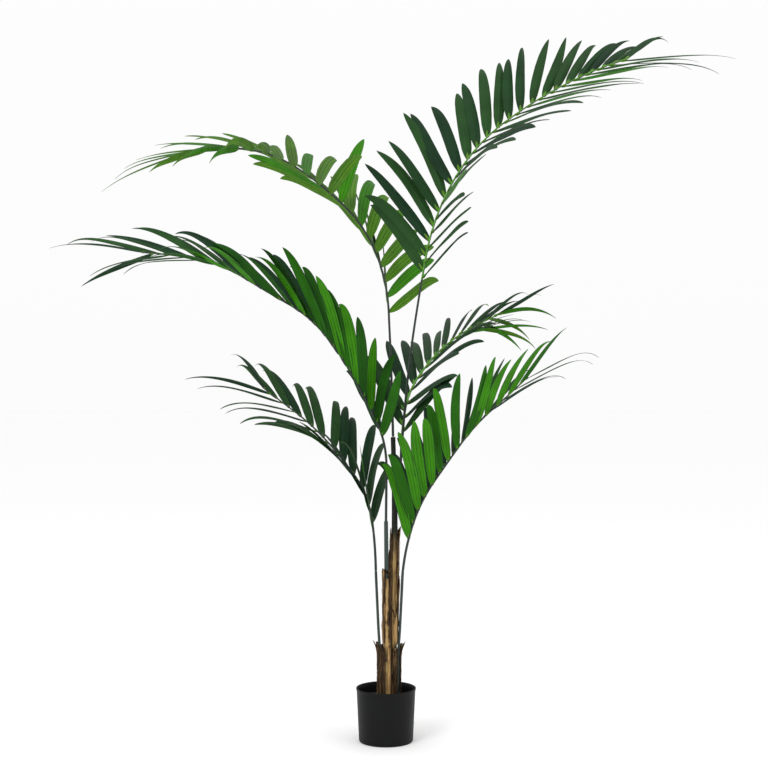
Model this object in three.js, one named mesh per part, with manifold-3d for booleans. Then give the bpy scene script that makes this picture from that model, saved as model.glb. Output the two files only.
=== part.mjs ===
// Artificial kentia palm, 1.8 m tall, in a black nursery pot: six fronds of cloth leaflets on wired
// stalks, which rise from two husk-wrapped canes and two side tubes set in a dark fill.
// Millimetres, +Z up. The origin is the centre of the pot's flat underside, X runs to the right of
// the front view and Y away from it.
import * as THREE from "three";
import { mergeVertices } from "three/addons/utils/BufferGeometryUtils.js";
import Module from "manifold-3d";

const wasm = await Module();
wasm.setup();

// Driving sizes
const CLEAR = 0.3; // air left between neighbouring pieces
const POT = { height: 135, rim: 76, foot: 66, bevelOut: 3, bevelUp: 7, wall: 2.4, floor: 4, sides: 40 };
const FILL_TOP = 110; // the fill ends 25 mm below the rim
const SOCKET_FLOOR = 40; // height at which the canes and tubes end inside the fill
const SOCKET_AIR = 1.2; // air round a cane or tube in its socket
const SOCKET_PAST = 5; // how far the form that cuts a socket stands out of the fill
// Sections of a leaflet at shares of its length, with shares of its full breadth there: a strap near
// the root of a frond, a whip near its tip
const LEAFLET = {
  thick: 3,
  sections: [0, 0.12, 0.45, 0.8, 0.995],
  strap: [0.2, 0.78, 1, 0.8, 0.02],
  whip: [0.2, 0.78, 0.96, 0.44, 0.02],
  strides: 8,
};
// Radius of a frond's midrib at its root and tip, its sides, and the points that draw its line
const RIB = { root: 3.4, tip: 1.7, sides: 5, steps: 80, rings: 18 };

const colours = {
  pot: 0x1b1c1d,
  fill: 0x17150f,
  husk: 0x6d5644,
  cane: 0xa58f62,
  tube: 0x4d6058,
  stalk: 0x44524a,
  dark: 0x24472b,
  bright: 0x4f9a1f,
};

const palm = new THREE.Group();

function addPiece(name, geometry, colour, roughness) {
  const material = new THREE.MeshStandardMaterial({ color: colour, roughness, metalness: 0 });
  const mesh = new THREE.Mesh(geometry, material);
  mesh.name = name;
  palm.add(mesh);
  return mesh;
}

// Closed surface over a row of rings that hold equally many points; each end is a fan or a point
function skin(rings) {
  const positions = rings.flat().flatMap((p) => [p.x, p.y, p.z]);
  const count = rings[0].length;
  const faces = [];
  for (let r = 0; r + 1 < rings.length; r++)
    for (let i = 0; i < count; i++) {
      const a = r * count + i;
      const b = r * count + ((i + 1) % count);
      faces.push(a, b, a + count, b, b + count, a + count);
    }
  const last = (rings.length - 1) * count;
  for (let i = 1; i + 1 < count; i++) {
    faces.push(0, i + 1, i);
    faces.push(last, last + i, last + i + 1);
  }
  const geometry = new THREE.BufferGeometry();
  geometry.setAttribute("position", new THREE.Float32BufferAttribute(positions, 3));
  geometry.setIndex(faces);
  return geometry;
}

// Solid that can be joined and cut, from a closed surface, and the surface of such a solid
function solid(geometry) {
  const bare = geometry.clone();
  bare.deleteAttribute("normal");
  bare.deleteAttribute("uv");
  const merged = mergeVertices(bare, 1e-4);
  return new wasm.Manifold(
    new wasm.Mesh({
      numProp: 3,
      vertProperties: new Float32Array(merged.attributes.position.array),
      triVerts: new Uint32Array(merged.index.array),
    }),
  );
}

function geometryOf(body) {
  const mesh = body.getMesh();
  const geometry = new THREE.BufferGeometry();
  geometry.setAttribute("position", new THREE.BufferAttribute(mesh.vertProperties, 3));
  geometry.setIndex(new THREE.BufferAttribute(mesh.triVerts, 1));
  return geometry.toNonIndexed();
}

// Round stem along a path, its radius eased from the first to the last value given
function stem(path, radii, sides, steps) {
  const frames = path.computeFrenetFrames(steps, false);
  const rings = [];
  for (let s = 0; s <= steps; s++) {
    const centre = path.getPointAt(s / steps);
    const radius = along(radii, s / steps);
    const ring = [];
    for (let i = 0; i < sides; i++) {
      const turn = (i / sides) * Math.PI * 2;
      const across = frames.normals[s].clone().multiplyScalar(Math.cos(turn));
      across.addScaledVector(frames.binormals[s], Math.sin(turn));
      ring.push(centre.clone().addScaledVector(across, radius));
    }
    rings.push(ring);
  }
  return skin(rings);
}

// Value at share t of a list of evenly spaced stations
function along(stations, t) {
  const x = THREE.MathUtils.clamp(t, 0, 1) * (stations.length - 1);
  const i = Math.min(Math.floor(x), stations.length - 2);
  return stations[i] + (stations[i + 1] - stations[i]) * (x - i);
}

function bend(points) {
  return new THREE.CatmullRomCurve3(points.map((p) => new THREE.Vector3(...p)), false, "centripetal");
}

// Pot: a turned shell with a small bevel at its foot and a thin rim
const bevelRadius = POT.foot + POT.bevelOut;
const slope = (POT.rim - bevelRadius) / (POT.height - POT.bevelUp);
const outerAt = (z) => bevelRadius + slope * (z - POT.bevelUp);
const innerAt = (z) => outerAt(z) - POT.wall;
const potProfile = [
  [0, 0],
  [POT.foot, 0],
  [bevelRadius, POT.bevelUp],
  [POT.rim, POT.height],
  [innerAt(POT.height), POT.height],
  [innerAt(POT.floor), POT.floor],
  [0, POT.floor],
];
const turned = (profile) =>
  new THREE.LatheGeometry(profile.map(([r, z]) => new THREE.Vector2(r, z)), POT.sides).rotateX(Math.PI / 2);
addPiece("pot", turned(potProfile), colours.pot, 0.6);

// Canes and side tubes, each from its socket in the fill to its flat top
const stems = {
  cane_left: {
    path: [[1, -6, SOCKET_FLOOR], [1.5, -6, 250], [2.5, -6, 413]],
    radii: [9.4, 9.2, 8.6],
    colour: colours.cane,
  },
  cane_right: {
    path: [[17.5, 15, SOCKET_FLOOR], [19, 15, 300], [22, 11.5, 520], [21.7, 7.8, 620], [18, 15, 770]],
    radii: [9.2, 8.7, 8, 6.5],
    colour: colours.cane,
  },
  tube_left: {
    path: [[-15.5, -3, SOCKET_FLOOR], [-16.2, -3, 230], [-19.5, 0, 290], [-26, 6, 431]],
    radii: [3.5, 3.5],
    colour: colours.tube,
  },
  tube_right: {
    path: [[31.5, 11, SOCKET_FLOOR], [32, 11, 225], [35.5, 8, 285], [42.6, -3.5, 433]],
    radii: [3.5, 3.5],
    colour: colours.tube,
  },
};
const STEM_SIDES = 12;
const STEM_STEPS = 10;

let fill = solid(
  turned([
    [0, POT.floor + CLEAR],
    [innerAt(POT.floor + CLEAR) - CLEAR, POT.floor + CLEAR],
    [innerAt(FILL_TOP) - CLEAR, FILL_TOP],
    [0, FILL_TOP],
  ]),
);
for (const [name, { path, radii, colour }] of Object.entries(stems)) {
  addPiece(name, stem(bend(path), radii, STEM_SIDES, STEM_STEPS), colour, 0.6);
  const [x, y] = path[0];
  const socket = new THREE.Vector3(x, y, SOCKET_FLOOR - CLEAR);
  const mouth = new THREE.Vector3(x, y, FILL_TOP + SOCKET_PAST);
  const wide = radii[0] + SOCKET_AIR;
  fill = fill.subtract(solid(stem(new THREE.LineCurve3(socket, mouth), [wide, wide], STEM_SIDES, 1)));
}
addPiece("pot_fill", geometryOf(fill), colours.fill, 0.95);

// Tube that sleeves the middle-left frond's stalk on top of the left cane
const SLEEVE = { foot: [1.5, -6.5, 413 + CLEAR], top: [0, -9, 558], radii: [5.7, 5.13], steps: 2 };
addPiece(
  "tube_upper",
  stem(new THREE.LineCurve3(new THREE.Vector3(...SLEEVE.foot), new THREE.Vector3(...SLEEVE.top)),
    SLEEVE.radii, STEM_SIDES, SLEEVE.steps),
  colours.tube,
  0.5,
);

// Fibre husk round a stem: part of an oval sleeve, open between two angles, its top torn unevenly
const TEAR = 2.3; // radians from one corner of the torn edge to the next
function husk({ foot, top, half, thick, open, ragged, sides }) {
  const span = 360 - (open[1] - open[0]);
  const wall = (radial, height) => {
    const ring = [];
    for (let i = 0; i <= sides; i++) {
      const turn = THREE.MathUtils.degToRad(open[1] + (span * i) / sides);
      const share = height * (1 - ragged * Math.abs(Math.sin(i * TEAR)));
      const centre = new THREE.Vector3(...foot).lerp(new THREE.Vector3(...top), share);
      centre.x += Math.cos(turn) * (half[0] + radial);
      centre.y += Math.sin(turn) * (half[1] + radial);
      ring.push(centre);
    }
    return ring;
  };
  // Each section runs round the wall's thickness, and the sections follow one another round the stem
  const inLow = wall(0, 0);
  const outLow = wall(thick, 0);
  const outHigh = wall(thick, 1);
  const inHigh = wall(0, 1);
  return skin(inLow.map((p, i) => [p, inHigh[i], outHigh[i], outLow[i]]));
}

const husks = {
  // Outer wraps that hold the bundle where it leaves the pot
  wrap_left: {
    foot: [-5.1, -5, FILL_TOP + CLEAR], top: [-5.1, -5, 248], half: [16.3, 14], thick: 1.5,
    open: [-74, -52], ragged: 0.06, sides: 22,
  },
  wrap_right: {
    foot: [22.4, 13.6, FILL_TOP + CLEAR], top: [22.4, 13.6, 240], half: [14.9, 12.2], thick: 1.5,
    open: [-62, -30], ragged: 0.08, sides: 20,
  },
  // Husks still on the canes, split down the front so that the pale cane shows
  husk_left: {
    foot: [1.9, -6, 250], top: [2.5, -6, 432], half: [9.7, 9.7], thick: 1.5,
    open: [-112, -66], ragged: 0.05, sides: 14,
  },
  husk_right: {
    foot: [19, 15.4, 252], top: [22.4, 12.2, 528], half: [10.2, 10.2], thick: 1.3,
    open: [-116, -62], ragged: 0.05, sides: 14,
  },
};
for (const [name, sizes] of Object.entries(husks)) addPiece(name, husk(sizes), colours.husk, 0.9);

// Fronds. Leans are measured from the vertical and headings from +X, evenly spaced along the midrib,
// and facing is the way in which the blade arches. A leaflet leaves the midrib at its sweep; its ring
// angle is 0 to the right, 90 on the upper side of the blade and 180 on the left. Its turn is about
// its own length, with up to spin degrees of chance.
const fronds = {
  top_right: {
    foot: [31.6, 2.6, 611], length: 1443, bare: 0.385, pairs: 23, split: 11,
    seed: 11, spin: 8, facing: 20, colour: colours.dark,
    leans: [6, 7, 9, 10, 30, 53, 62, 70], headings: [-60, -45, -5, 14, 20, 22],
    near: {
      side: 1, sweep: [56, 76, 74, 64, 60, 44], ring: [-4, 12, 0, -8, -14, -22],
      turn: [35, 24, 15, 22, 28, 25],
    },
    far: {
      side: -1, sweep: [47, 50, 49, 46, 34, 27], ring: [122, 126, 147, 133, 150, 162],
      turn: [10, 30, 20, 25, 36, 40],
    },
    breadth: [29, 32, 31, 26, 14], reach: [240, 262, 272, 262, 285], droop: 0.22, curl: 0.5,
  },
  upper_left: {
    foot: [18, 18, 771], length: 1112, bare: 0.285, pairs: 20, split: 10,
    seed: 23, spin: 12, facing: 210, colour: colours.bright,
    leans: [14, 10, 3, 21, 52, 64, 90, 108], headings: [95, 100, 150, 205, 214, 210, 206],
    near: {
      side: -1, sweep: [60, 66, 82, 56, 50, 44],
      ring: [72, 72, 72, 62, 57, 52, 44, 180, 181, 182, 184, 186, 190, 194, 192, 190],
      turn: [8, -24, -48, 8, 75, 95],
    },
    far: {
      side: 1, sweep: [28, 28, 50, 50, 32, 16], ring: [30, 34, 8, 16, 10, -10],
      turn: [-8, -13, -17, -6, 0, 10],
    },
    breadth: [30, 34, 31, 24, 14], reach: [240, 262, 258, 225], droop: 0.25, curl: 0.7,
  },
  middle_left: {
    foot: [0, -9, 558.4], length: 1025, bare: 0.205, pairs: 22, split: 10,
    seed: 37, spin: 22, facing: 205, colour: colours.bright,
    leans: [-2, -1, 31, 32, 41, 63, 61, 81, 89], headings: [255, 222, 208, 205, 203, 200],
    near: {
      side: -1, sweep: [38, 20, 19, 26, 34, 42], ring: [158, 112, 132, 160, 196, 210],
      turn: [27, 5, -12, 5, 18, -15],
    },
    far: {
      side: 1, sweep: [50, 42, 52, 46, 38, 40], ring: [16, 44, 38, 31, 28, 18],
      turn: [110, 40, 33, 30, 36, 12],
    },
    breadth: [28, 26, 24, 19, 13], reach: [230, 246, 240, 262], droop: 0.34, curl: 0.7,
  },
  middle_right: {
    foot: [30.5, 14.5, 641], length: 693, bare: 0.192, pairs: 15, split: 7,
    seed: 41, spin: 14, facing: 45, colour: colours.dark,
    leans: [8, 2, 11, 45, 57, 65, 70, 70], headings: [10, 50, 40],
    near: {
      side: 1, sweep: [46, 72, 34, 25, 118, 84], ring: [4, 26, 16, 0, -4, 5],
      turn: [24, 5, 6, 12, 134, 110],
    },
    far: {
      side: -1, sweep: [45, 45, 38, 20, 10, 8], ring: [187, 186, 184, 160, 130, 90],
      turn: [30, 28, 18, -18, -30, -50],
    },
    breadth: [28, 28, 19, 13, 11], reach: [230, 245, 240, 235], droop: 0.3, curl: 0.6,
  },
  lower_right: {
    foot: [43, -4, 433.6], length: 623, bare: 0.12, pairs: 14, split: 8,
    seed: 53, spin: 10, facing: -35, colour: colours.bright,
    leans: [8, 22, 39, 40, 52, 49], headings: [-38, -36, -32],
    near: {
      side: 1, sweep: [29, 38, 39, 26, 30, 24], ring: [50, 24, 46, 28, 12, 0],
      turn: [18, 20, 6, 24, 40, 15],
    },
    far: {
      side: -1, sweep: [50, 70, 75, 57, 62, 52], ring: [105, 117, 120, 136, 168, 178],
      turn: [10, 10, 10, 10, 25, 15],
    },
    breadth: [29, 29, 24, 18, 12], reach: [240, 240, 240, 250], droop: 0.25, curl: 0.9,
  },
  lower_left: {
    foot: [-26, 6, 431.6], length: 631, bare: 0.14, pairs: 12, split: 6,
    seed: 67, spin: 10, facing: 146, colour: colours.dark,
    leans: [1, 10, 43, 49, 59, 58], headings: [140, 145, 150],
    near: {
      side: -1, sweep: [8, 18, 55, 53, 56, 34], ring: [160, 168, 162, 182, 184, 184],
      turn: [10, 15, -8, 8, 12, -18],
    },
    far: {
      side: 1, sweep: [50, 36, 40, 28, 22, 18], ring: [-14, 14, 30, 22, 32, 12],
      turn: [45, 5, 9, 24, 18, 18],
    },
    breadth: [26, 27, 26, 22, 15], reach: [215, 240, 240, 240], droop: 0.36, curl: 0.8,
  },
};
const SPREAD = 4; // degrees of chance in a leaflet's sweep and ring angles
const LEAD = 5; // midrib left bare below the first leaflet of a stretch
const DOWN = new THREE.Vector3(0, 0, -1);

// Repeatable chance between 0 and 1
function chance(seed) {
  let state = seed;
  return () => {
    state = (Math.imul(state, 1664525) + 1013904223) >>> 0;
    return state / 4294967296;
  };
}

// Points of a midrib with the tangent, the direction to the right and the blade's upper side
function midrib({ foot, length, leans, headings, facing }) {
  const point = new THREE.Vector3(...foot);
  const way = THREE.MathUtils.degToRad(facing);
  const level = new THREE.Vector3(Math.sin(way), -Math.cos(way), 0);
  const line = [];
  for (let i = 0; i <= RIB.steps; i++) {
    const t = i / RIB.steps;
    const lean = THREE.MathUtils.degToRad(along(leans, t));
    const heading = THREE.MathUtils.degToRad(along(headings, t));
    const tangent = new THREE.Vector3(
      Math.sin(lean) * Math.cos(heading),
      Math.sin(lean) * Math.sin(heading),
      Math.cos(lean),
    );
    if (i > 0) {
      const step = tangent.clone().add(line[i - 1].tangent).normalize();
      point.addScaledVector(step, length / RIB.steps);
    }
    const upper = new THREE.Vector3().crossVectors(level, tangent).normalize();
    const right = new THREE.Vector3().crossVectors(tangent, upper);
    line.push({ point: point.clone(), tangent, right, upper });
  }
  return line;
}

function placeAt(line, t) {
  const x = THREE.MathUtils.clamp(t, 0, 1) * RIB.steps;
  const i = Math.min(Math.floor(x), RIB.steps - 1);
  const mix = (key) => line[i][key].clone().lerp(line[i + 1][key], x - i);
  return { point: mix("point"), tangent: mix("tangent"), right: mix("right"), upper: mix("upper") };
}

// One leaflet: a thin blade of three-sided sections that droops and ends in a point
function leaflet(place, q, side, sweep, ring, turn, length, breadth, droop, curl) {
  const a = THREE.MathUtils.degToRad(sweep);
  const r = THREE.MathUtils.degToRad(ring);
  const across = place.right.clone().multiplyScalar(Math.cos(r)).addScaledVector(place.upper, Math.sin(r));
  const start = place.tangent.clone().multiplyScalar(Math.cos(a)).addScaledVector(across, Math.sin(a));
  const face = place.right.clone().multiplyScalar(-side * Math.sin(r));
  face.addScaledVector(place.upper, side * Math.cos(r));
  face.applyAxisAngle(start, THREE.MathUtils.degToRad(-side * turn));
  const whip = THREE.MathUtils.clamp((q - 0.35) / 0.5, 0, 1);
  const point = place.point.clone();
  const heading = start.clone();
  const sections = [];
  let walked = 0;
  for (const [k, u] of LEAFLET.sections.entries()) {
    while (walked < u) {
      const stride = Math.min(1 / LEAFLET.strides, u - walked);
      const middle = walked + stride / 2;
      heading.copy(start).addScaledVector(DOWN, droop * middle * middle + curl * middle ** 6).normalize();
      point.addScaledVector(heading, stride * length);
      walked += stride;
    }
    const top = face.clone().addScaledVector(heading, -face.dot(heading)).normalize();
    const width = new THREE.Vector3().crossVectors(heading, top);
    const share = LEAFLET.strap[k] * (1 - whip) + LEAFLET.whip[k] * whip;
    const half = (breadth / 2) * share;
    const thick = (LEAFLET.thick / 2) * (k < 3 ? 1 : share);
    sections.push([
      point.clone().addScaledVector(width, half).addScaledVector(top, -thick),
      point.clone().addScaledVector(width, -half).addScaledVector(top, -thick),
      point.clone().addScaledVector(top, thick),
    ]);
  }
  return skin(sections);
}

// Every leaflet of a frond, in pairs from the base to the tip
function leafletsOf(frond, line) {
  const roll = chance(frond.seed);
  const list = [];
  for (let i = 0; i < frond.pairs; i++)
    for (const [row, offset] of [["near", 0.25], ["far", 0.75]]) {
      const q = (i + offset) / frond.pairs;
      const t = frond.bare + (1 - frond.bare) * q;
      const { side, sweep, ring, turn } = frond[row];
      const sweepHere = along(sweep, q) + SPREAD * (roll() * 2 - 1);
      const ringHere = along(ring, q) + SPREAD * (roll() * 2 - 1);
      const length = along(frond.reach, q) * (0.9 + 0.18 * roll());
      const droop = frond.droop * (0.6 + 0.8 * roll());
      const curl = frond.curl * roll();
      const turnHere = along(turn, q) + frond.spin * (roll() * 2 - 1);
      const breadth = along(frond.breadth, q);
      const place = placeAt(line, t);
      const geometry = leaflet(place, q, side, sweepHere, ringHere, turnHere, length, breadth, droop, curl);
      list.push({ t, geometry });
    }
  return list;
}

// Stretch of midrib between two shares of its length, tapered with the whole
function ribBetween(line, from, to) {
  const rings = [];
  const steps = Math.max(2, Math.round((to - from) * RIB.rings));
  for (let s = 0; s <= steps; s++) {
    const t = from + ((to - from) * s) / steps;
    const { point, right, upper } = placeAt(line, t);
    const radius = RIB.root + (RIB.tip - RIB.root) * t;
    const ring = [];
    for (let i = 0; i < RIB.sides; i++) {
      const turn = (i / RIB.sides) * Math.PI * 2;
      ring.push(
        point
          .clone()
          .addScaledVector(right, Math.cos(turn) * radius)
          .addScaledVector(upper, -Math.sin(turn) * radius),
      );
    }
    rings.push(ring);
  }
  return skin(rings);
}

for (const [name, frond] of Object.entries(fronds)) {
  const line = midrib(frond);
  const leaflets = leafletsOf(frond, line);
  const gap = CLEAR / frond.length;
  const lead = LEAD / frond.length;
  const first = leaflets[0].t - lead;
  const half = leaflets[frond.split * 2].t - lead;
  addPiece("stalk_" + name, ribBetween(line, 0, first - gap), colours.stalk, 0.5);
  for (const [part, from, to] of [["low", first, half - gap], ["high", half, 1]]) {
    let blade = solid(ribBetween(line, from, to));
    for (const { t, geometry } of leaflets) if (t > from && t < to) blade = blade.add(solid(geometry));
    addPiece("frond_" + name + "_" + part, geometryOf(blade), frond.colour, 0.55);
  }
}

export default palm;
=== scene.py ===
"""An artificial kentia palm, 1.87 m tall, in a black nursery pot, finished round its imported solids."""
import math

import bpy
import numpy as np
from mathutils import Matrix, Vector, noise


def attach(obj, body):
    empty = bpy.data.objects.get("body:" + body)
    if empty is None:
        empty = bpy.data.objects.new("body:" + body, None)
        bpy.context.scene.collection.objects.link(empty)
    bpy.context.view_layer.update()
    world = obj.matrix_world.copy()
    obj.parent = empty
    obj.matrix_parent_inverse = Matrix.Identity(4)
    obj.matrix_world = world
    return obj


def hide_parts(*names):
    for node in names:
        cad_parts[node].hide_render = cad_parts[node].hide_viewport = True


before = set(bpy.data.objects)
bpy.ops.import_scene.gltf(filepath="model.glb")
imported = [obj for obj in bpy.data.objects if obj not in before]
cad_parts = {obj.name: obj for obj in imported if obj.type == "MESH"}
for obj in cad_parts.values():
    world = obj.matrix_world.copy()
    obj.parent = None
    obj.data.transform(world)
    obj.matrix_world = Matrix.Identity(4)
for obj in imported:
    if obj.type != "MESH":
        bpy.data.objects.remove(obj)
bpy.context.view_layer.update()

# Pot
# A thin-walled nursery pot, injection moulded in black plastic. It is round and a little wider at
# its rim, with a narrow turned lip, a rounded foot and a faint grain that catches a soft shine.
MM = 0.001  # sizes are in millimetres, unless a comment says metres


class Value:
    """A number that varies over a surface; sums and products of values become maths nodes."""

    def __init__(self, finish, socket):
        self.finish = finish
        self.socket = socket

    def maths(self, operation, *others, clamp=False):
        node = self.finish.tree.nodes.new("ShaderNodeMath")
        node.operation = operation
        node.use_clamp = clamp
        for place, value in zip(node.inputs, others):
            self.finish.feed(place, value)
        return Value(self.finish, node.outputs[0])

    def __add__(self, other):
        return self.maths("ADD", self, other)

    def __radd__(self, other):
        return self.maths("ADD", other, self)

    def __sub__(self, other):
        return self.maths("SUBTRACT", self, other)

    def __rsub__(self, other):
        return self.maths("SUBTRACT", other, self)

    def __mul__(self, other):
        return self.maths("MULTIPLY", self, other)

    def __rmul__(self, other):
        return self.maths("MULTIPLY", other, self)

    def held(self, low, high):
        """0 at low, 1 at high, even between them and held beyond them."""
        return self.maths("MULTIPLY", self - low, 1 / (high - low), clamp=True)


class Finish:
    """One material, made round Blender's own surface shader."""

    def __init__(self, name, **fixed):
        self.material = bpy.data.materials.new(name)
        self.material.use_nodes = True
        self.tree = self.material.node_tree
        self.shader = self.tree.nodes["Principled BSDF"]
        for socket, value in fixed.items():
            self.shader.inputs[socket.replace("_", " ")].default_value = value

    def feed(self, place, value):
        if isinstance(value, Value):
            self.tree.links.new(value.socket, place)
        elif isinstance(value, (tuple, list)) and place.type == "RGBA":
            place.default_value = (*value, 1)
        else:
            place.default_value = value

    def node(self, kind, settings, sockets, output=0):
        node = self.tree.nodes.new("ShaderNode" + kind)
        for key, value in settings.items():
            setattr(node, key, value)
        for key, value in sockets.items():
            self.feed(node.inputs[key], value)
        return Value(self, node.outputs[output])

    def place(self, stretch=(1, 1, 1), sheet=None):
        """Where a point lies: on the object in metres, or on a cloth sheet's own lengths."""
        if sheet:
            spot = self.node("UVMap", {"uv_map": sheet}, {})
        else:
            spot = self.node("TexCoord", {}, {}, "Object")
        return self.node("Mapping", {}, {"Vector": spot, "Scale": stretch})

    def metres_along(self, axis):
        """How far a point lies to the right (0), to the back (1) or up (2)."""
        return self.node("SeparateXYZ", {}, {"Vector": self.place()}, axis)

    def grain(self, spot, scale, detail, rough=0.5):
        sockets = {"Vector": spot, "Scale": scale, "Detail": detail, "Roughness": rough}
        return self.node("TexNoise", {}, sockets)

    def blend(self, share, first, second):
        """A Mix node's colour sockets go by number: 6 and 7 take the colours, and 2 gives the blend."""
        return self.node("Mix", {"data_type": "RGBA"}, {"Factor": share, 6: first, 7: second}, 2)

    def relief(self, height, strength, depth):
        sockets = {"Height": height, "Strength": strength, "Distance": depth}
        self["Normal"] = self.node("Bump", {}, sockets)

    def __setitem__(self, socket, value):
        self.feed(self.shader.inputs[socket], value)


class Piece:
    """A mesh gathered from closed skins. A skin is rows of points, each row a closed section, and
    it has its own cell of the flat map and its own lengths in metres."""

    def __init__(self, name, *finishes):
        self.name = name
        self.finishes = finishes
        self.points = []
        self.faces = []
        self.kinds = []
        self.flat = []
        self.sheet = []
        self.total = 0

    def skin(self, rows, kinds=0, cell=(0, 0, 1, 1)):
        """rows is rows x columns x 3, in millimetres; kinds gives a finish to each column."""
        rows = np.asarray(rows, float) * MM
        count, columns = rows.shape[:2]
        here = np.arange(count - 1)[:, None] * columns + np.arange(columns)[None, :]
        beside = np.arange(count - 1)[:, None] * columns + (np.arange(columns)[None, :] + 1) % columns
        quads = np.stack([here, beside, beside + columns, here + columns], -1).reshape(-1, 4)
        corners = rows.reshape(-1, 3)
        middle = corners.mean(0)
        a, b, c, d = (corners[quads[:, i]] - middle for i in range(4))
        inward = np.einsum("ij,ij->i", a + b + c + d, np.cross(c - a, d - b)).sum() < 0
        girth = np.linalg.norm(np.roll(rows, -1, 1) - rows, axis=2).mean(0)
        across = np.concatenate([[0], np.cumsum(girth)])
        run = np.linalg.norm(np.diff(rows, axis=0), axis=2).mean(1)
        up = np.concatenate([[0], np.cumsum(run)])
        spots = []
        for column, row in ((0, 0), (1, 0), (1, 1), (0, 1)):
            x = np.broadcast_to(across[None, column : columns + column], (count - 1, columns))
            y = np.broadcast_to(up[row : count - 1 + row, None], (count - 1, columns))
            spots.append(np.stack([x, y], -1).reshape(-1, 2))
        spots = np.stack(spots, 1)
        if inward:
            quads, spots = quads[:, ::-1], spots[:, ::-1]
        low = np.array(cell[:2])
        size = np.array(cell[2:]) - low
        reach = np.array([across[-1], up[-1]])
        self.flat.append((low + size * spots / reach).reshape(-1, 2))
        self.sheet.append(spots.reshape(-1, 2))
        self.points.append(corners)
        self.faces += (quads + self.total).tolist()
        each = np.broadcast_to(np.asarray(kinds), (count - 1, columns)).reshape(-1)
        self.kinds.append(each)
        ends = [np.arange(columns)[::-1], np.arange(columns) + (count - 1) * columns]
        for end, height in zip(ends, (0, 1)):
            order = end[::-1] if inward else end
            self.faces.append((order + self.total).tolist())
            self.flat.append(np.tile(low + size * (0.5, height), (columns, 1)))
            self.sheet.append(np.tile((across[-1] / 2, up[-1] * height), (columns, 1)))
            self.kinds.append([each[0]])
        self.total += len(corners)

    def made(self, sharp):
        """The finished mesh; edges that turn by more than sharp degrees stay crisp."""
        mesh = bpy.data.meshes.new(self.name)
        mesh.from_pydata(np.concatenate(self.points).tolist(), [], self.faces)
        for finish in self.finishes:
            mesh.materials.append(finish.material)
        mesh.polygons.foreach_set("material_index", np.concatenate(self.kinds).astype(np.int32))
        for title, spots in (("OFBake", self.flat), ("lengths", self.sheet)):
            mesh.uv_layers.new(name=title).data.foreach_set("uv", np.concatenate(spots).ravel())
        mesh.shade_smooth()
        mesh.set_sharp_from_angle(angle=math.radians(sharp))
        mesh.update()
        made = bpy.data.objects.new(self.name, mesh)
        bpy.context.collection.objects.link(made)
        return made


def turned(profile, sides):
    """Rows of a turned form from its (radius, height) profile."""
    turns = np.arange(sides) / sides * 2 * np.pi
    rows = []
    for radius, height in profile:
        level = np.full(sides, float(height))
        rows.append(np.stack([radius * np.cos(turns), radius * np.sin(turns), level], 1))
    return np.array(rows)


POT_HEIGHT, POT_RIM, POT_FOOT = 135, 76, 66
POT_BEVEL_OUT, POT_BEVEL_UP, POT_WALL, POT_FLOOR = 3, 7, 2.4, 4
FOOT_GROOVE = ((-9, 0), (-8, 1.2), (-5, 1.2), (-4, 0))  # out from the foot's edge, and up
LIP = 1.2  # half the lip's thickness
CENTRE = 0.4  # radius at which a turned skin closes
POT_SIDES, ARC_STEPS, OUTER_ROWS, INNER_ROWS = 144, 6, 16, 14
POT_BLACK, POT_SCUFFED = (0.002, 0.0022, 0.0023), (0.0085, 0.009, 0.0092)
pot_bevel = POT_FOOT + POT_BEVEL_OUT
pot_slope = (POT_RIM - LIP - pot_bevel) / (POT_HEIGHT - POT_BEVEL_UP)


def pot_radius(height):
    return pot_bevel + pot_slope * (height - POT_BEVEL_UP)


black = Finish("black_moulded_plastic", Specular_IOR_Level=0.16)
fine = black.grain(black.place(), 900, 3)
flow = black.grain(black.place((30, 30, 6)), 1, 3)
scuff = black.grain(black.place((60, 60, 25)), 1, 5, 0.7).held(0.56, 0.75)
black["Base Color"] = black.blend(scuff * 0.35 + flow * 0.15, POT_BLACK, POT_SCUFFED)
black["Roughness"] = 0.42 + 0.16 * flow + 0.12 * scuff
black.relief(fine, 0.35, 0.0004)

profile = [(CENTRE, 0), *((POT_FOOT + out, up) for out, up in FOOT_GROOVE), (POT_FOOT, 0)]
for k in range(1, ARC_STEPS + 1):
    turn = k / ARC_STEPS * math.pi / 2
    profile.append((POT_FOOT + POT_BEVEL_OUT * math.sin(turn), POT_BEVEL_UP * (1 - math.cos(turn))))
outer_heights = np.linspace(POT_BEVEL_UP + 3, POT_HEIGHT - 6.5, OUTER_ROWS)
profile += [(pot_radius(height), height) for height in outer_heights]
profile.append((pot_radius(POT_HEIGHT - 6) + 0.2, POT_HEIGHT - 5.8))  # the step out under the lip
profile.append((pot_radius(POT_HEIGHT - 5.4) + 1.0, POT_HEIGHT - 5.2))
for k in range(ARC_STEPS + 1):
    turn = k / ARC_STEPS * math.pi
    lip_radius = POT_RIM - LIP + LIP * math.cos(turn)
    profile.append((lip_radius, POT_HEIGHT - LIP + LIP * math.sin(turn)))
inner_heights = np.linspace(POT_HEIGHT - 4, POT_FLOOR + 4, INNER_ROWS)
profile += [(pot_radius(height) - POT_WALL, height) for height in inner_heights]
profile += [(pot_radius(POT_FLOOR) - POT_WALL - 3, POT_FLOOR), (CENTRE, POT_FLOOR)]
pot_piece = Piece("nursery_pot", black)
pot_piece.skin(turned(profile, POT_SIDES))
pot = pot_piece.made(30)
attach(pot, "root")
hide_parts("pot")

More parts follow.
